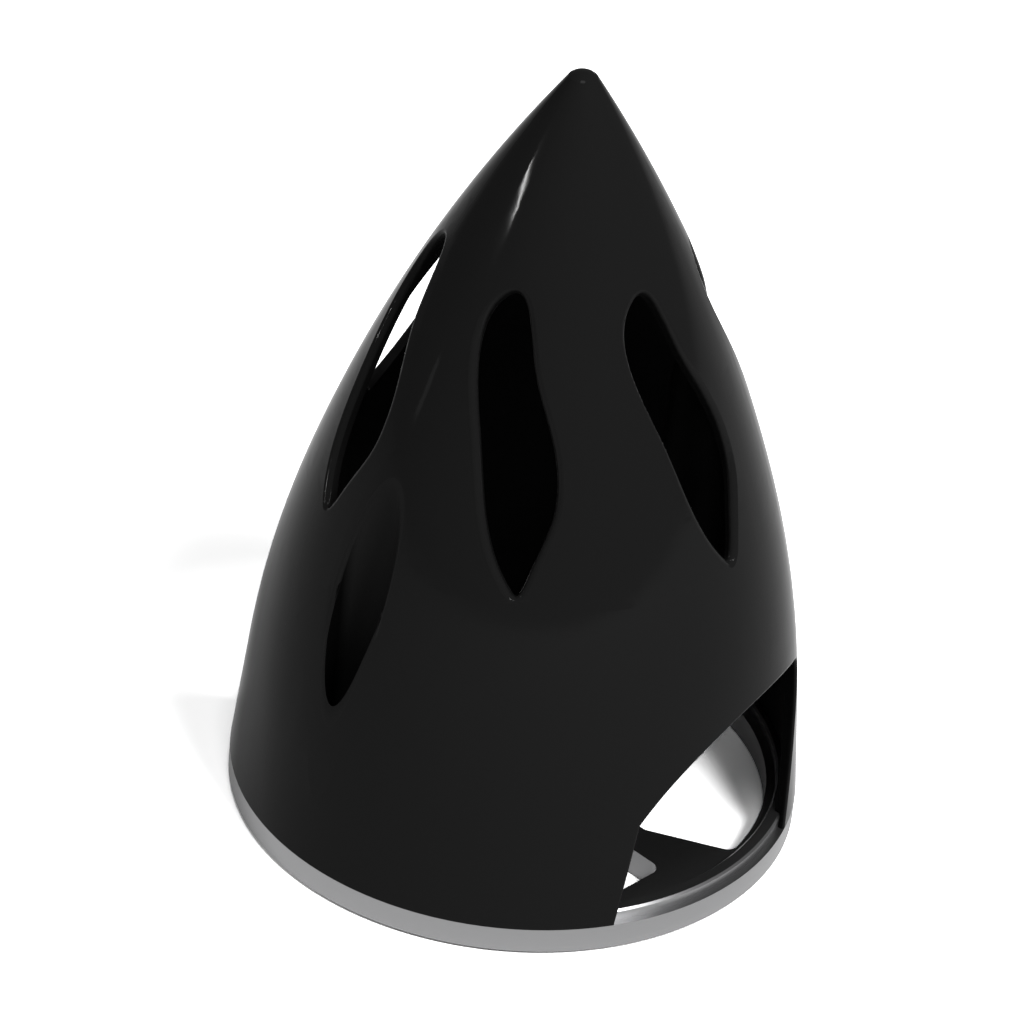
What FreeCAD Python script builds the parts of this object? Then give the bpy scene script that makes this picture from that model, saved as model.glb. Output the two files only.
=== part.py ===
"""Propeller spinner for a model aircraft: a moulded ogive cone on a machined backplate.

Millimetres, +Z up along the propeller shaft. The origin is the centre of the rear face,
which lies against the engine's drive washer and on which the spinner stands.
Azimuths are in degrees from -Y, growing towards +X. The shaft turns anticlockwise seen
from the nose, so the leading side of a cutout or gill is the one at the larger azimuth.
"""
import FreeCAD, Part
import math
import os

V = FreeCAD.Vector
ORIGIN = V(0, 0, 0)
AXIS = V(0, 0, 1)

# Overall
BASE_D = 57.0            # backplate, and the foot of the cone
NOSE_Z = 81.7            # tip above the rear face

# Backplate
PLATE_T = 2.9            # thickness, and height of the bare metal rim
REAR_CHAMFER = 0.3       # broken edge round the rear of the rim
RING_W = 3.0             # ring outside the windows
LEDGE_W = 0.7            # ledge outside the register, which carries the cone
REGISTER_W = 1.4         # register lip, radially
REGISTER_H = 1.2         # register lip, hub and screw pads above the plate
REGISTER_BREAK = 0.2     # broken top edges of the register
HUB_D = 20.0             # hub clamped between drive washer and propeller
BORE_D = 6.4             # clears a quarter-inch shaft
BORE_BREAK = 0.3
BLADE_SPOKE_W = 3.3      # spoke under each blade
FLARE_L = 8.6            # length over which its leading flank flares out to the ring
FLARE_ANGLE = 29.0
LAND_W = 3.1             # straight land inside the ring, beside its trailing flank
SCREW_SPOKE_W = 5.0
PAD_D = 9.4              # raised pad round each screw
WINDOW_FILLET = 1.2      # corners of the windows

# Cone shell
WALL = 1.2               # square to the surface
FOOT_FIT = 0.05          # clearance round the register
REBATE_FIT = 0.1         # clearance above the register
TAPER = 5.4              # straight foot, degrees from the axis
TAPER_TOP_Z = 13.9       # end of the straight foot
SHOULDER_R = 110.0       # arc from the foot to the nose
SHOULDER_LEAN = 17.3     # lean where the shoulder ends, degrees from the axis
TIP_D = 2.8              # edge of the blunt tip
TIP_H = 0.55             # height of the cap on it
CORE_D = 3.2             # flat end of the hollow under the tip

# Cone screws, and the channels that they are reached through
SCREWS = 2
SCREW_INSET = 4.9        # screw axes, in from the rim
SCREW_AZ = -42.4         # first screw
CHANNEL_D = 6.0
CHANNEL_WALL = 1.2
CHANNEL_EDGE = 0.4       # rounded mouth
SEAT_T = 2.5             # floor of the channel, which the screw head pulls on
SCREW_D = 3.0
SCREW_L = 6.0            # under the head
SHANK_FIT = 0.2          # round the shank, in the channel floor
THREAD_FIT = 0.025       # round the shank, in the tapped hole
HEAD_D = 5.5
HEAD_H = 3.0
HEAD_BREAK = 0.3
SOCKET_AF = 2.5          # hexagon socket, across flats
SOCKET_DEPTH = 1.5

# Blade cutouts
BLADES = 2
BLADE_AZ = 48.0          # first blade
CUT_TRAIL = 11.6         # trailing side at the foot, from the blade's axis
CUT_LEAD = 12.5          # leading side at the foot, from the blade's axis
CUT_TRAIL_LEAN = 12.0
CUT_LEAD_LEAN = 17.5
CUT_ARCH_R = 19.9        # arched top
CUT_ARCH_X = 6.8         # centre of the arch, from the blade's axis
CUT_ARCH_Z = 1.9         # centre of the arch, above the rear face
CUT_CORNER = 1.8         # leading top corner
CUT_EDGE = 0.3           # rounded outer edge

# Cooling gills
GILLS = 6
GILL_AZ = -12.5          # middle of the first gill
GILL_Z = 50.6            # middle of a gill, up the cone
GILL_LEAN = 14.6         # sweep from the meridian, degrees
GILL_L = 28.4
GILL_HEAD_W = 4.7        # near the top
GILL_BELLY_W = 7.0       # widest, below the middle
GILL_BOW = 0.9           # bow of the trailing side
GILL_EDGE = 0.6          # rounded outer lip

BASE_R = BASE_D / 2
RING_R = BASE_R - RING_W
REGISTER_R = BASE_R - LEDGE_W
SEAT_Z = PLATE_T + REGISTER_H
FLOOR_Z = SEAT_Z + SEAT_T
SCREW_R = BASE_R - SCREW_INSET
FLARE_START_R = RING_R - FLARE_L
LAND_R = RING_R - LAND_W
BOSS_R = CHANNEL_D / 2 + CHANNEL_WALL
BEYOND = 5.0             # how far a cutter reaches past what it cuts


# ------------------------------------------------------------------ helpers
def polar(radius, azimuth, z=0.0):
    angle = math.radians(azimuth)
    return V(radius * math.sin(angle), -radius * math.cos(angle), z)


def turned(shape, azimuth):
    """A copy of a shape drawn at azimuth 0, turned to another azimuth."""
    copy = shape.copy()
    copy.rotate(ORIGIN, AXIS, azimuth)
    return copy


def rod(radius, bottom, top, centre=ORIGIN):
    return Part.makeCylinder(radius, top - bottom, V(centre.x, centre.y, bottom), AXIS)


def prism(corners, push):
    """Solid from a closed outline of straight sides, pushed along a vector."""
    return Part.Face(Part.makePolygon(corners + corners[:1])).extrude(push)


def revolved(edges):
    """Solid of revolution of a closed outline in the XZ plane."""
    return Part.Face(Part.Wire(edges)).revolve(ORIGIN, AXIS, 360)


def one_solid(shape):
    return shape.removeSplitter().Solids[0]


# ------------------------------------------------------------------ cone outline
def tangent_arc(start, lean, radius, end_lean):
    """Arc that leaves start leaning in by lean and curls inwards to end_lean. Returns arc, end."""
    centre = start - V(math.cos(lean), 0, math.sin(lean)) * radius
    middle = (lean + end_lean) / 2
    end = centre + V(math.cos(end_lean), 0, math.sin(end_lean)) * radius
    through = centre + V(math.cos(middle), 0, math.sin(middle)) * radius
    return Part.Arc(start, through, end), end


def outline(inset=0.0):
    """The cone's outline from foot to tip in the XZ plane, moved in square to itself by inset.

    A straight tapered foot runs into a shoulder arc, and that into a flatter nose arc.
    Returns the three edges, the first point and the last.
    """
    taper = math.radians(TAPER)
    lean = math.radians(SHOULDER_LEAN)
    foot = V(BASE_R, 0, PLATE_T)
    waist = foot + V(-math.tan(taper), 0, 1) * (TAPER_TOP_Z - PLATE_T)
    neck = tangent_arc(waist, taper, SHOULDER_R, lean)[1]
    tip = V(TIP_D / 2, 0, NOSE_Z - TIP_H)
    chord = tip - neck
    turn = 2 * (math.atan2(-chord.x, chord.z) - lean)
    nose_r = chord.Length / (2 * math.sin(turn / 2))

    square = V(-math.cos(taper), 0, -math.sin(taper)) * inset
    first = V(foot.x - inset / math.cos(taper), 0, PLATE_T)
    waist_in = waist + square
    shoulder, neck_in = tangent_arc(waist_in, taper, SHOULDER_R - inset, lean)
    if inset:
        # the hollow stops at a flat core end instead of running out to the tip
        centre_x = neck_in.x - math.cos(lean) * (nose_r - inset)
        stop = math.acos((CORE_D / 2 - centre_x) / (nose_r - inset))
    else:
        stop = lean + turn
    nose, last = tangent_arc(neck_in, lean, nose_r - inset, stop)
    edges = [Part.makeLine(first, waist_in), shoulder.toShape(), nose.toShape()]
    return edges, first, last


def cone_form():
    """The outer form of the cone, filled."""
    edges, foot, tip = outline()
    cap_r = (tip.x ** 2 + TIP_H ** 2) / (2 * TIP_H)
    cap_angle = math.asin(tip.x / cap_r) / 2
    apex = V(0, 0, NOSE_Z)
    on_cap = V(cap_r * math.sin(cap_angle), 0, NOSE_Z - cap_r * (1 - math.cos(cap_angle)))
    centre = V(0, 0, PLATE_T)
    edges.append(Part.Arc(tip, on_cap, apex).toShape())
    edges.append(Part.makeLine(apex, centre))
    edges.append(Part.makeLine(centre, foot))
    return revolved(edges)


def hollow_form():
    edges, foot, top = outline(WALL)
    top_centre = V(0, 0, top.z)
    centre = V(0, 0, PLATE_T)
    edges.append(Part.makeLine(top, top_centre))
    edges.append(Part.makeLine(top_centre, centre))
    edges.append(Part.makeLine(centre, foot))
    return revolved(edges)


def surface_at(z):
    """Radius and lean of the cone's outer surface at a height on the shoulder or nose."""
    for edge in outline()[0]:
        curve = edge.Curve
        low, high = edge.ParameterRange
        ends = sorted((edge.valueAt(low).z, edge.valueAt(high).z))
        if not ends[0] <= z <= ends[1]:
            continue
        level = Part.Line(V(0, 0, z), V(1, 0, z))
        for meeting in curve.intersectCC(level):
            point = V(meeting.X, meeting.Y, meeting.Z)
            if point.x > 0:
                tangent = edge.tangentAt(curve.parameter(point))
                return point.x, math.atan2(abs(tangent.x), abs(tangent.z))
    raise ValueError("no cone surface at this height")


# ------------------------------------------------------------------ cone features
def gill_cutter():
    """Leaf-shaped cutter for a gill at azimuth 0, pushed in square to the surface."""
    radius, lean = surface_at(GILL_Z)
    outward = V(0, -math.cos(lean), math.sin(lean))
    across = V(1, 0, 0)
    upward = V(0, math.sin(lean), math.cos(lean))
    sweep = math.radians(GILL_LEAN)
    wide = across * math.cos(sweep) + upward * math.sin(sweep)
    along = upward * math.cos(sweep) - across * math.sin(sweep)
    middle = V(0, -radius, GILL_Z) + outward * BEYOND

    half = GILL_L / 2
    trail = -0.33 * GILL_HEAD_W
    bow = trail - GILL_BOW
    lead = trail + GILL_HEAD_W
    belly = bow + GILL_BELLY_W
    stations = [
        (bow + 0.27 * GILL_BELLY_W, -half),             # tail
        (bow + 0.12 * GILL_BELLY_W, -0.82 * half),
        (bow, 0.0),                                     # bowed trailing side
        (trail, 0.76 * half),
        (trail + 0.36 * GILL_HEAD_W, 0.94 * half),
        (trail + 0.76 * GILL_HEAD_W, half),             # head
        (lead, 0.76 * half),
        (lead + 0.04 * GILL_HEAD_W, 0.44 * half),
        (belly, -0.10 * half),                          # belly of the leading side
        (belly - 0.05 * GILL_BELLY_W, -0.43 * half),
        (bow + 0.55 * GILL_BELLY_W, -0.85 * half),
    ]
    curve = Part.BSplineCurve()
    curve.interpolate([middle + wide * x + along * y for x, y in stations], PeriodicFlag=True)
    face = Part.Face(Part.Wire([curve.toShape()]))
    return face.extrude(outward * -2 * BEYOND)


def blade_cutter():
    """Cutter for a blade cutout at azimuth 0: two leaning sides under an arched top."""
    trail_slope = math.tan(math.radians(CUT_TRAIL_LEAN))
    lead_slope = math.tan(math.radians(CUT_LEAD_LEAN))
    low = PLATE_T - BEYOND
    high = CUT_ARCH_Z + CUT_ARCH_R

    def trail_at(z):
        return V(-CUT_TRAIL + trail_slope * (z - PLATE_T), 0, z)

    def lead_at(z):
        return V(CUT_LEAD + lead_slope * (z - PLATE_T), 0, z)

    push = V(0, -(BASE_R + BEYOND), 0)
    sides = prism([trail_at(low), trail_at(high), lead_at(high), lead_at(low)], push)
    arch = Part.makeCylinder(CUT_ARCH_R, push.Length, V(CUT_ARCH_X, 0, CUT_ARCH_Z), push)
    column = prism(
        [
            V(CUT_ARCH_X - CUT_ARCH_R, 0, low),
            V(CUT_ARCH_X - CUT_ARCH_R, 0, CUT_ARCH_Z),
            V(CUT_ARCH_X + CUT_ARCH_R, 0, CUT_ARCH_Z),
            V(CUT_ARCH_X + CUT_ARCH_R, 0, low),
        ],
        push,
    )
    cutter = one_solid(sides.common(arch.fuse(column)))
    tops = [
        e for e in cutter.Edges
        if e.BoundBox.YLength > BASE_R and e.BoundBox.ZMin > CUT_ARCH_Z + BEYOND
    ]
    leading_top = max(tops, key=lambda e: e.BoundBox.XMax)
    return cutter.makeFillet(CUT_CORNER, [leading_top])


def mouth_edges(form, outer, cutters):
    """Edges of form where a cutter came out through the sides of the outer form."""
    sides = Part.makeCompound([f for f in outer.Faces if not isinstance(f.Surface, Part.Plane)])
    walls = Part.makeCompound([cutter.Shells[0] for cutter in cutters])
    found = []
    for edge in form.Edges:
        first, last = edge.ParameterRange
        middle = Part.Vertex(edge.valueAt((first + last) / 2))
        if max(sides.distToShape(middle)[0], walls.distToShape(middle)[0]) < 0.001:
            found.append(edge)
    return found


def spinner_cone():
    outer = cone_form()

    # cutouts and gills are sunk into the filled form, so that their mouths can be rounded
    blades = [turned(blade_cutter(), BLADE_AZ + 360 / BLADES * i) for i in range(BLADES)]
    form = outer.cut(blades)
    form = form.makeFillet(CUT_EDGE, mouth_edges(form, outer, blades))
    gills = [turned(gill_cutter(), GILL_AZ + 360 / GILLS * i) for i in range(GILLS)]
    form = form.cut(gills)
    form = form.makeFillet(GILL_EDGE, mouth_edges(form, outer, gills))
    shell = form.cut(hollow_form())

    # a boss for each screw, from the pad on the backplate up to the wall
    axes = [polar(SCREW_R, SCREW_AZ + 360 / SCREWS * i) for i in range(SCREWS)]
    shell = shell.fuse([rod(BOSS_R, SEAT_Z, NOSE_Z, at).common(outer) for at in axes])
    rebate = rod(REGISTER_R + FOOT_FIT, PLATE_T - BEYOND, SEAT_Z + REBATE_FIT)
    rebate = rebate.cut([rod(BOSS_R, SEAT_Z, FLOOR_Z, at) for at in axes])
    shell = shell.cut(rebate)
    channels = [rod(CHANNEL_D / 2, FLOOR_Z, NOSE_Z, at) for at in axes]
    shell = shell.cut(channels)
    shell = shell.makeFillet(CHANNEL_EDGE, mouth_edges(shell, outer, channels))
    shell = shell.cut([rod(SCREW_D / 2 + SHANK_FIT, PLATE_T, FLOOR_Z + BEYOND, at) for at in axes])
    return one_solid(shell)


# ------------------------------------------------------------------ backplate
def blade_spoke():
    """Spoke along azimuth 0: straight trailing flank and land, leading flank flared to the ring."""
    half = BLADE_SPOKE_W / 2
    reach = BASE_R
    flare = math.tan(math.radians(FLARE_ANGLE)) * (reach - FLARE_START_R)
    corners = [
        V(-half, 0, 0),
        V(half, 0, 0),
        V(half, -FLARE_START_R, 0),
        V(half + flare, -reach, 0),
        V(-reach, -reach, 0),
        V(-reach, -LAND_R, 0),
        V(-half, -LAND_R, 0),
    ]
    return prism(corners, V(0, 0, PLATE_T)).common(rod(BASE_R - RING_W / 2, 0, PLATE_T))


def screw_spoke():
    half = SCREW_SPOKE_W / 2
    reach = RING_R + RING_W / 2
    corners = [V(-half, 0, 0), V(half, 0, 0), V(half, -reach, 0), V(-half, -reach, 0)]
    return prism(corners, V(0, 0, PLATE_T))


def backplate():
    ring = rod(BASE_R, 0, PLATE_T).cut(rod(RING_R, 0, PLATE_T))
    pieces = [rod(HUB_D / 2, 0, PLATE_T)]
    pieces += [turned(blade_spoke(), BLADE_AZ + 360 / BLADES * i) for i in range(BLADES)]
    pieces += [turned(screw_spoke(), SCREW_AZ + 360 / SCREWS * i) for i in range(SCREWS)]
    screws = [polar(SCREW_R, SCREW_AZ + 360 / SCREWS * i) for i in range(SCREWS)]
    pieces += [rod(PAD_D / 2, 0, PLATE_T, at) for at in screws]
    plate = one_solid(ring.fuse(pieces))

    corners = [
        e for e in plate.Edges
        if e.BoundBox.ZLength > 0.9 * PLATE_T
        and isinstance(e.Curve, Part.Line)
        and math.hypot(e.CenterOfMass.x, e.CenterOfMass.y) < BASE_R - 0.5 * RING_W
    ]
    plate = plate.makeFillet(WINDOW_FILLET, corners)

    rims = [e for e in plate.Edges if e.BoundBox.XLength > 0.99 * BASE_D]
    rear_rim = [e for e in rims if e.BoundBox.ZMax < PLATE_T / 2]
    plate = plate.makeChamfer(REAR_CHAMFER, rear_rim)

    register = rod(REGISTER_R, PLATE_T, SEAT_Z).cut(rod(REGISTER_R - REGISTER_W, PLATE_T, SEAT_Z))
    tops = [e for e in register.Edges if e.BoundBox.ZMin > SEAT_Z - REGISTER_H / 2]
    register = register.makeChamfer(REGISTER_BREAK, tops)
    inside = rod(REGISTER_R, PLATE_T, SEAT_Z)
    pads = [rod(PAD_D / 2, PLATE_T, SEAT_Z, at).common(inside) for at in screws]
    plate = one_solid(plate.fuse([register, rod(HUB_D / 2, PLATE_T, SEAT_Z)] + pads))

    bore = rod(BORE_D / 2, -BEYOND, SEAT_Z + BEYOND)
    mouths = [
        Part.makeCone(BORE_D / 2 + BORE_BREAK, BORE_D / 2, BORE_BREAK, ORIGIN, AXIS),
        Part.makeCone(BORE_D / 2, BORE_D / 2 + BORE_BREAK, BORE_BREAK, V(0, 0, SEAT_Z - BORE_BREAK), AXIS),
    ]
    tapped = [rod(SCREW_D / 2 + THREAD_FIT, -BEYOND, SEAT_Z + BEYOND, at) for at in screws]
    return one_solid(plate.cut([bore] + mouths + tapped))


# ------------------------------------------------------------------ screws
def cap_screw():
    """Socket cap screw standing on the Z axis, head up, the underside of its head at z = 0."""
    head = rod(HEAD_D / 2, 0, HEAD_H)
    head = head.makeChamfer(HEAD_BREAK, [e for e in head.Edges if e.BoundBox.ZMin > HEAD_H / 2])
    corner = SOCKET_AF / math.sqrt(3)
    hexagon = [polar(corner, 60 * i, HEAD_H - SOCKET_DEPTH) for i in range(6)]
    socket = prism(hexagon, V(0, 0, SOCKET_DEPTH + BEYOND))
    shank = rod(SCREW_D / 2, -SCREW_L, 0)
    shank = shank.makeChamfer(HEAD_BREAK, [e for e in shank.Edges if e.BoundBox.ZMax < -SCREW_L / 2])
    return one_solid(head.fuse(shank).cut(socket))


def main():
    os.makedirs("parts", exist_ok=True)
    spinner_cone().exportStep("parts/spinner_cone.step")
    backplate().exportStep("parts/backplate.step")
    for i in range(SCREWS):
        screw = cap_screw()
        screw.translate(polar(SCREW_R, SCREW_AZ + 360 / SCREWS * i, FLOOR_Z))
        screw.exportStep(f"parts/cone_screw_{i + 1}.step")


main()
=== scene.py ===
import math

import bpy
from mathutils import Matrix, Vector


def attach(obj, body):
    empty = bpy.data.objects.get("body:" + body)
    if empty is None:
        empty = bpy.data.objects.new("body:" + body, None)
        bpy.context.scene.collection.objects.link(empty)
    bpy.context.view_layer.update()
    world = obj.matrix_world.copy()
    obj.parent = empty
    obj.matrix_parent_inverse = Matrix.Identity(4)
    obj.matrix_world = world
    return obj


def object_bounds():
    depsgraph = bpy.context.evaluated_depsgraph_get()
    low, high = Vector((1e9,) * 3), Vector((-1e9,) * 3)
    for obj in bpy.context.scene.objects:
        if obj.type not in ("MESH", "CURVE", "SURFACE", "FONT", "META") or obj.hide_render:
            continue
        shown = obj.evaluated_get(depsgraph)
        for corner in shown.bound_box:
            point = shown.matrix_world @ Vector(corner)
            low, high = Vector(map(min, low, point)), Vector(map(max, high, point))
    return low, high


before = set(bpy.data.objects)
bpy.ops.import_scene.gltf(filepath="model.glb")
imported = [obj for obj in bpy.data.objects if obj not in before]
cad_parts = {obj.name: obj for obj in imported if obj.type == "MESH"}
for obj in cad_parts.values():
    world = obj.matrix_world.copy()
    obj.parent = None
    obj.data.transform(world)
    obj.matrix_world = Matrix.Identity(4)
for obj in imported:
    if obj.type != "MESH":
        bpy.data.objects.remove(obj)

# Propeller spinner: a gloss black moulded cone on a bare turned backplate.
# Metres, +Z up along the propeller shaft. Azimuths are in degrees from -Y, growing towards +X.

CAD_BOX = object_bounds()
MM = 0.001

# The cone and its screw channels, as far as the finishes and the lips need them
BASE_R = CAD_BOX[1][0]       # backplate and foot of the cone
PLATE_T = 2.9 * MM           # the foot of the cone stands at this height
TAPER = 5.4                  # lean of the cone's lowest stretch, degrees
TAPER_TOP_Z = 13.9 * MM
SHOULDER_R = 110 * MM        # the arc of the outline above it
SCREW_AZ = -42.4             # the second screw stands opposite
SCREW_INSET = 4.9 * MM       # the screws' lines from the edge of the base
SCREW_R = BASE_R - SCREW_INSET
CHANNEL_R = 3 * MM
HOLLOW_MIDDLE = 20 * MM      # a point on the shaft's line that every outer face looks away from

# The lips: crescents of skin over the rounded lower ends of the channels' mouths
LIP_DROP = 6.5 * MM          # how far a lip reaches down from its edge
LIP_SWEEP = 84               # to either side of the channel's outermost line, degrees
LIP_FADE = 0.35              # share of each half in which a lip runs out
LIP_ROUND = 0.4 * MM         # the mouth's rounding, into which the ends of a lip sink
LIP_SINK_GAP = 1.5 * LIP_ROUND    # only skin that is thinner than this sinks
LIP_PROUD = 0.004 * MM       # above the cone's own skin
LIP_CREASE = 25              # a sharper turn between two faces stays an edge, degrees
LIP_COLUMNS = 60
LIP_ROWS = 16
SEARCH_TOP = 2 * SCREW_R     # well above the highest edge of a lip
SEARCH_STEPS = 40

# The camera
CENTRE = Vector((0, 0, 28.5 * MM))    # camera and lamps are set out from this point
VIEW_DISTANCE = 570 * MM
VIEW_ELEVATION = 33.51       # degrees
VIEW_ROLL = 5.87             # the camera leans, so the nose points a little to the right
AIM_LEFT = 2.28 * MM         # the object sits a little right of the middle of the frame
AIM_UP = 3.29 * MM           # and a little below it
LENS = 204.4                 # focal length in millimetres, and so is the sensor's width
SENSOR = 36
NEAREST = 10 * MM            # nothing closer than this is drawn


# ------------------------------------------------------------------ helpers
def colour(hex_value):
    """sRGB hex to linear RGBA."""
    channels = [int(hex_value[i:i + 2], 16) / 255 for i in (1, 3, 5)]
    linear = [c / 12.92 if c <= 0.04045 else ((c + 0.055) / 1.055) ** 2.4 for c in channels]
    return (*linear, 1.0)


def per_mm(size_mm):
    """Texture scale at which one feature of a pattern measures size_mm."""
    return 1 / (size_mm * MM)


def add(tree, kind, settings=None, values=None, links=None):
    """Adds a node, with its settings, its socket values and its incoming links."""
    node = tree.nodes.new(kind)
    for name, value in (settings or {}).items():
        setattr(node, name, value)
    for name, value in (values or {}).items():
        node.inputs[name].default_value = value
    for name, source in (links or {}).items():
        tree.links.new(source, node.inputs[name])
    return node


def new_material(name, values):
    """A material with a Principled shader. Returns the material, its tree and the shader."""
    material = bpy.data.materials.new(name)
    material.use_nodes = True
    tree = material.node_tree
    shader = tree.nodes["Principled BSDF"]
    for socket, value in values.items():
        shader.inputs[socket].default_value = value
    return material, tree, shader


def new_object(name, data):
    """An object in the scene that carries a mesh, a lamp or a camera."""
    thing = bpy.data.objects.new(name, data)
    bpy.context.collection.objects.link(thing)
    return thing


def direction(azimuth, elevation):
    """Unit vector towards an azimuth and an elevation, both in degrees."""
    a, e = math.radians(azimuth), math.radians(elevation)
    return Vector((math.sin(a) * math.cos(e), -math.cos(a) * math.cos(e), math.sin(e)))


# ------------------------------------------------------------------ finishes
OUTER_BLACK = colour("#1a1a1a")
# painted shade: the cone's inner side gets a darker black than the outer side, for the dark of the
# hollow
HOLLOW_PAINTED_SHADE = colour("#050505")
POLISHED = 0.05              # roughness of the cleanest patches
HANDLED = 0.08               # and of the most handled ones
MATT = 0.6                   # and of the inner side and the channels
LOOKS_OUT = 0.35             # cosine from which on a face counts as an outer one
LOOKS_ACROSS = 0.0           # and down from which it counts as an inner one
CHANNEL_MATT_END = 0.1 * MM  # past the channel's wall, where its matt finish starts to fade
CHANNEL_FADE_END = 0.5 * MM  # and where it is gone
PAPER_GLARE = 2.4            # times white
GLOSSY_SHARE = 0.05          # of that glare, in reflections


def distance_to_screws(tree, place):
    """Distance from the nearer screw's line. The two stand opposite each other, so the place is
    turned until both are on the X axis, and its X is taken without its sign."""
    turned = add(
        tree, "ShaderNodeVectorRotate", {"rotation_type": "Z_AXIS"},
        {"Angle": math.radians(90 - SCREW_AZ)}, {"Vector": place},
    )
    parts = add(tree, "ShaderNodeSeparateXYZ", links={"Vector": turned.outputs["Vector"]})
    side = add(
        tree, "ShaderNodeMath", {"operation": "ABSOLUTE"}, links={0: parts.outputs["X"]},
    )
    flat = add(
        tree, "ShaderNodeCombineXYZ",
        links={"X": side.outputs["Value"], "Y": parts.outputs["Y"]},
    )
    return add(
        tree, "ShaderNodeVectorMath", {"operation": "DISTANCE"},
        {1: (SCREW_R, 0, 0)}, {0: flat.outputs["Vector"]},
    ).outputs["Value"]


def polished_black_moulding():
    """Glass-filled nylon moulded in a polished tool: deep black, with clear highlights that waver
    a little over the faint orange peel of the moulding. The core of the tool isn't polished, so
    the inner side is matt. Its colour is also painted darker: painted shade for the hollow, in
    which the light that falls through the gills is lost."""
    # The low IOR keeps the mirrored room faint, so that the lamps stand out in the gloss
    material, tree, shader = new_material("polished_black_moulding", {"IOR": 1.12})
    coordinates = add(tree, "ShaderNodeTexCoord")
    place = coordinates.outputs["Object"]
    # How far a face looks away from a point low in the hollow: 1 outside, -1 on the inner side
    arm = add(
        tree, "ShaderNodeVectorMath", {"operation": "SUBTRACT"},
        {1: (0, 0, HOLLOW_MIDDLE)}, {0: place},
    )
    outward = add(
        tree, "ShaderNodeVectorMath", {"operation": "NORMALIZE"}, links={0: arm.outputs["Vector"]},
    )
    facing = add(
        tree, "ShaderNodeVectorMath", {"operation": "DOT_PRODUCT"},
        links={0: outward.outputs["Vector"], 1: coordinates.outputs["Normal"]},
    )
    inner = add(
        tree, "ShaderNodeMapRange",
        values={"From Min": LOOKS_OUT, "From Max": LOOKS_ACROSS},
        links={"Value": facing.outputs["Value"]},
    ).outputs["Result"]
    # The pins that mould the screw channels aren't polished either
    channel = add(
        tree, "ShaderNodeMapRange",
        values={"From Min": CHANNEL_R + CHANNEL_FADE_END, "From Max": CHANNEL_R + CHANNEL_MATT_END},
        links={"Value": distance_to_screws(tree, place)},
    ).outputs["Result"]
    matt = add(
        tree, "ShaderNodeMath", {"operation": "MAXIMUM"}, links={0: inner, 1: channel},
    )

    # The inner side's darker colour is painted shade, for the hollow that the light through the
    # gills doesn't reach
    tone = add(
        tree, "ShaderNodeMix", {"data_type": "RGBA"},
        {"A": OUTER_BLACK, "B": HOLLOW_PAINTED_SHADE}, {"Factor": inner},
    )
    tree.links.new(tone.outputs["Result"], shader.inputs["Base Color"])
    # Where it has been handled, in patches the size of a fingertip, it is a little duller
    handling = add(
        tree, "ShaderNodeTexNoise",
        values={"Scale": per_mm(12.0), "Detail": 4.0, "Roughness": 0.6}, links={"Vector": place},
    )
    gloss = add(
        tree, "ShaderNodeMapRange",
        values={"From Min": 0.3, "From Max": 0.7, "To Min": POLISHED, "To Max": HANDLED},
        links={"Value": handling.outputs["Fac"]},
    )
    roughness = add(
        tree, "ShaderNodeMapRange", values={"To Max": MATT},
        links={"Value": matt.outputs["Value"], "To Min": gloss.outputs["Result"]},
    )
    tree.links.new(roughness.outputs["Result"], shader.inputs["Roughness"])
    # Orange peel
    peel = add(
        tree, "ShaderNodeTexNoise",
        values={"Scale": per_mm(4.0), "Detail": 2.0, "Roughness": 0.4}, links={"Vector": place},
    )
    bump = add(
        tree, "ShaderNodeBump",
        values={"Strength": 0.04, "Distance": 0.05 * MM}, links={"Height": peel.outputs["Fac"]},
    )
    tree.links.new(bump.outputs["Normal"], shader.inputs["Normal"])
    return material


def turned_aluminium():
    """Bare turned and milled aluminium: pale grey, with fine rings from the lathe tool that
    break up its highlights."""
    material, tree, shader = new_material(
        "turned_aluminium",
        {"Base Color": colour("#a2a2a3"), "Metallic": 1.0, "Roughness": 0.33},
    )
    place = add(tree, "ShaderNodeTexCoord").outputs["Object"]
    parts = add(tree, "ShaderNodeSeparateXYZ", links={"Vector": place})
    # The pattern is read by radius and height alone, which makes it run in rings
    flat = add(
        tree, "ShaderNodeCombineXYZ",
        links={"X": parts.outputs["X"], "Y": parts.outputs["Y"]},
    )
    radius = add(
        tree, "ShaderNodeVectorMath", {"operation": "LENGTH"}, links={0: flat.outputs["Vector"]},
    )
    ring = add(
        tree, "ShaderNodeCombineXYZ",
        links={"X": radius.outputs["Value"], "Z": parts.outputs["Z"]},
    )
    rings = add(
        tree, "ShaderNodeTexNoise",
        # the tool's feed is a tenth of a millimetre, drawn coarser so that it shows
        values={"Scale": per_mm(0.35), "Detail": 2.0}, links={"Vector": ring.outputs["Vector"]},
    )
    bump = add(
        tree, "ShaderNodeBump",
        values={"Strength": 0.25, "Distance": 0.02 * MM}, links={"Height": rings.outputs["Fac"]},
    )
    tree.links.new(bump.outputs["Normal"], shader.inputs["Normal"])
    return material


def black_oxide_steel():
    """Oxide-blackened alloy steel: a soft, nearly black sheen with a fine tooth."""
    material, tree, shader = new_material(
        "black_oxide_steel",
        {"Base Color": colour("#2c2c2d"), "Metallic": 1.0, "Roughness": 0.4},
    )
    place = add(tree, "ShaderNodeTexCoord").outputs["Object"]
    tooth = add(
        tree, "ShaderNodeTexNoise",
        # the real tooth is a few hundredths of a millimetre, drawn coarser so that it shows
        values={"Scale": per_mm(0.3), "Detail": 2.0}, links={"Vector": place},
    )
    bump = add(
        tree, "ShaderNodeBump",
        values={"Strength": 0.15, "Distance": 0.01 * MM}, links={"Height": tooth.outputs["Fac"]},
    )
    tree.links.new(bump.outputs["Normal"], shader.inputs["Normal"])
    return material


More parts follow.
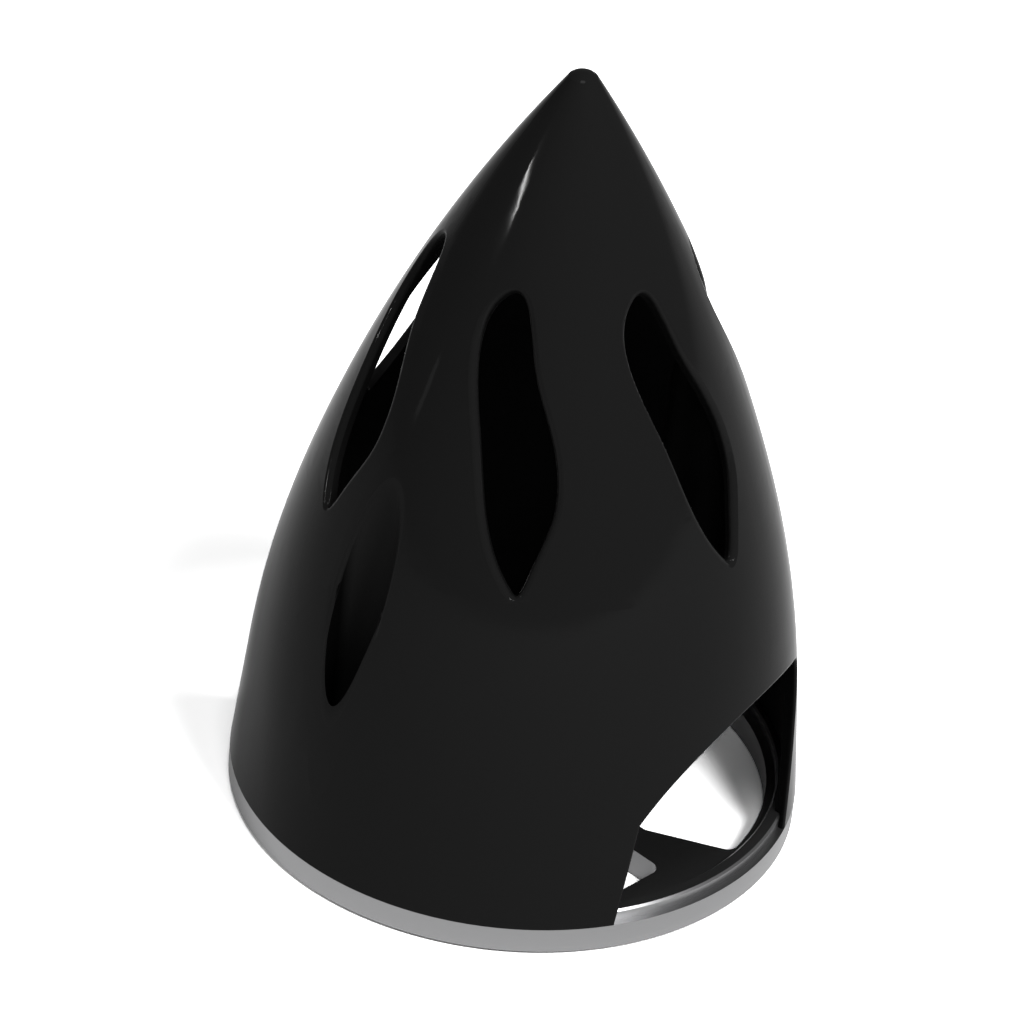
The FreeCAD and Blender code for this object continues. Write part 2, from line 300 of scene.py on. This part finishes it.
def white_paper():
    """Matt white paper. The camera sees it overexposed, so that it clips to white but for the
    shadow close under the object. Reflections show it a little brighter than it is."""
    material, tree, shader = new_material(
        "white_paper", {"Roughness": 0.9, "Specular IOR Level": 0.0},
    )
    path = add(tree, "ShaderNodeLightPath")
    glare = add(
        tree, "ShaderNodeMath", {"operation": "MULTIPLY_ADD"}, {1: GLOSSY_SHARE},
        {0: path.outputs["Is Glossy Ray"], 2: path.outputs["Is Camera Ray"]},
    )
    tone = add(
        tree, "ShaderNodeMix", {"data_type": "RGBA"},
        {"A": colour("#e6e6e6"), "B": (PAPER_GLARE, PAPER_GLARE, PAPER_GLARE, 1)},
        {"Factor": glare.outputs["Value"]},
    )
    tree.links.new(tone.outputs["Result"], shader.inputs["Base Color"])
    return material


def dress(node, material):
    """Gives one of the solid pieces its finish."""
    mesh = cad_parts[node].data
    mesh.materials.clear()
    mesh.materials.append(material)


# ------------------------------------------------------------------ screw channels
def outline_radius(z):
    """Outer radius of the cone at height z: a straight taper, then the shoulder's arc."""
    lean = math.radians(TAPER)
    if z <= TAPER_TOP_Z:
        return BASE_R - math.tan(lean) * (z - PLATE_T)
    centre_r = outline_radius(TAPER_TOP_Z) - SHOULDER_R * math.cos(lean)
    centre_z = TAPER_TOP_Z - SHOULDER_R * math.sin(lean)
    return centre_r + math.sqrt(SHOULDER_R ** 2 - (z - centre_z) ** 2)


def skin_distance(z, sweep):
    """Distance at height z from the screw's line to the cone's outer face, in the direction that
    lies sweep radians off straight outwards."""
    across = SCREW_R * math.sin(sweep)
    along = math.sqrt(max(0.0, outline_radius(z) ** 2 - across ** 2))
    return along - SCREW_R * math.cos(sweep)


def edge_height(sweep):
    """Height at which the wall of the channel comes out through the outer face."""
    low, high = TAPER_TOP_Z, SEARCH_TOP
    for _ in range(SEARCH_STEPS):
        middle = (low + high) / 2
        if skin_distance(middle, sweep) > CHANNEL_R:
            low = middle
        else:
            high = middle
    return low


def lip_points(azimuth):
    """The points of a lip, in columns round the channel and in each from the bottom up. They come
    in pairs: one on the cone's outer face, and one on the wall of the channel."""
    out = direction(azimuth, 0)
    along = direction(azimuth + 90, 0)
    points = []
    for column in range(LIP_COLUMNS + 1):
        share = 2 * column / LIP_COLUMNS - 1
        sweep = math.radians(LIP_SWEEP) * share
        edge = edge_height(sweep)
        # towards both ends the crescent sinks into the rounded sides of the mouth
        fade = max(0.0, 1 - (1 - abs(share)) / LIP_FADE)
        for row in range(LIP_ROWS + 1):
            z = edge - LIP_DROP * (1 - row / LIP_ROWS)
            skin = skin_distance(z, sweep)
            sink = fade * LIP_ROUND * max(0.0, 1 - (skin - CHANNEL_R) / LIP_SINK_GAP) ** 2
            for reach, depth in ((skin, sink - LIP_PROUD), (CHANNEL_R, sink)):
                place = out * (SCREW_R + reach * math.cos(sweep) - depth)
                place += along * reach * math.sin(sweep)
                points.append((place.x, place.y, z))
    return points


def lip_faces():
    """The faces that close those points into a thin solid, all of them looking outwards."""
    stride = 2 * (LIP_ROWS + 1)
    top = stride - 2
    faces = []
    for column in range(LIP_COLUMNS):
        here = column * stride
        there = here + stride
        for i in range(0, top, 2):
            faces.append((here + i, there + i, there + i + 2, here + i + 2))
            faces.append((here + i + 3, there + i + 3, there + i + 1, here + i + 1))
        faces.append((here + top, there + top, there + top + 1, here + top + 1))
        faces.append((here + 1, there + 1, there, here))
    last = LIP_COLUMNS * stride
    for i in range(0, top, 2):
        faces.append((i, i + 2, i + 3, i + 1))
        faces.append((last + i + 1, last + i + 3, last + i + 2, last + i))
    return faces


def channel_lip(name, azimuth, material):
    """The thin crescent of skin in which the outer face runs out over a screw channel."""
    mesh = bpy.data.meshes.new(name)
    mesh.from_pydata(lip_points(azimuth), [], lip_faces())
    mesh.materials.append(material)
    for polygon in mesh.polygons:
        polygon.use_smooth = True
    mesh.set_sharp_from_angle(angle=math.radians(LIP_CREASE))
    lip = new_object(name, mesh)
    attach(lip, "root")


# ------------------------------------------------------------------ studio
ROOM_LIGHT = 0.16            # strength of the even light from all round
FLOOR_REACH = 3.0            # to each side of the shaft's line
FLOOR_DROP = 0.05 * MM       # just under the backplate, so that no two faces share a place
LAMP_DISTANCE = 1.4
STREAK_DISTANCE = 1.2


def floor():
    """A wide sheet of paper under the backplate."""
    low, high = -FLOOR_REACH, FLOOR_REACH
    mesh = bpy.data.meshes.new("floor")
    corners = [(low, low, 0), (high, low, 0), (high, high, 0), (low, high, 0)]
    mesh.from_pydata(corners, [], [(0, 1, 2, 3)])
    mesh.materials.append(white_paper())
    ground = new_object("floor", mesh)
    ground.location.z = -FLOOR_DROP


def softbox(name, azimuth, elevation, distance, width, height, watts):
    """A rectangular lamp that faces the object."""
    lamp = bpy.data.lights.new(name, "AREA")
    lamp.shape = "RECTANGLE"
    lamp.size = width
    lamp.size_y = height
    lamp.energy = watts
    box = new_object(name, lamp)
    away = direction(azimuth, elevation)
    box.location = CENTRE + away * distance
    box.rotation_euler = away.to_track_quat("Z", "Y").to_euler()
    return box


def room(strength):
    """Dim, even, white light from all round."""
    world = bpy.data.worlds.new("room")
    world.use_nodes = True
    background = world.node_tree.nodes["Background"]
    background.inputs["Color"].default_value = colour("#ffffff")
    background.inputs["Strength"].default_value = strength
    bpy.context.scene.world = world


def camera():
    """A long lens from in front and above. It is set out facing the centre and leaning by its
    roll, and then turns to its aim a little beside the centre."""
    ahead = -direction(0, VIEW_ELEVATION)
    level = Vector((1, 0, 0))
    above = level.cross(ahead)
    roll = math.radians(VIEW_ROLL)
    right = level * math.cos(roll) + above * math.sin(roll)
    up = above * math.cos(roll) - level * math.sin(roll)
    place = CENTRE - ahead * VIEW_DISTANCE
    ahead = (CENTRE - right * AIM_LEFT + up * AIM_UP - place).normalized()
    right = ahead.cross(up).normalized()
    up = right.cross(ahead)
    data = bpy.data.cameras.new("camera")
    data.lens = LENS
    data.sensor_width = SENSOR
    data.clip_start = NEAREST
    eye = new_object("camera", data)
    turn = Matrix((right, up, -ahead)).transposed().to_4x4()
    eye.matrix_world = Matrix.Translation(place) @ turn
    bpy.context.scene.camera = eye


moulding = polished_black_moulding()
dress("spinner_cone", moulding)
dress("backplate", turned_aluminium())
oxide = black_oxide_steel()
dress("cone_screw_1", oxide)
dress("cone_screw_2", oxide)

for number, azimuth in enumerate((SCREW_AZ, SCREW_AZ + 180), start=1):
    channel_lip(f"channel_lip_{number}", azimuth, moulding)

floor()
room(ROOM_LIGHT)
# name, azimuth, elevation, distance, width, height, watts
softbox("overhead", 0, 73, LAMP_DISTANCE, 0.5, 0.5, 5.5)
softbox("window", 44, 50, LAMP_DISTANCE, 0.4, 0.4, 15.5)
strip = softbox("strip", -74.5, 21.5, STREAK_DISTANCE, 0.217, 0.02, 2.6)
card = softbox("card", -80.5, 5.0, STREAK_DISTANCE, 0.05, 0.085, 0.02)
for streak in (strip, card):
    streak.visible_diffuse = False    # seen only as a streak in the gloss
camera()

bpy.context.scene.view_settings.view_transform = "Standard"
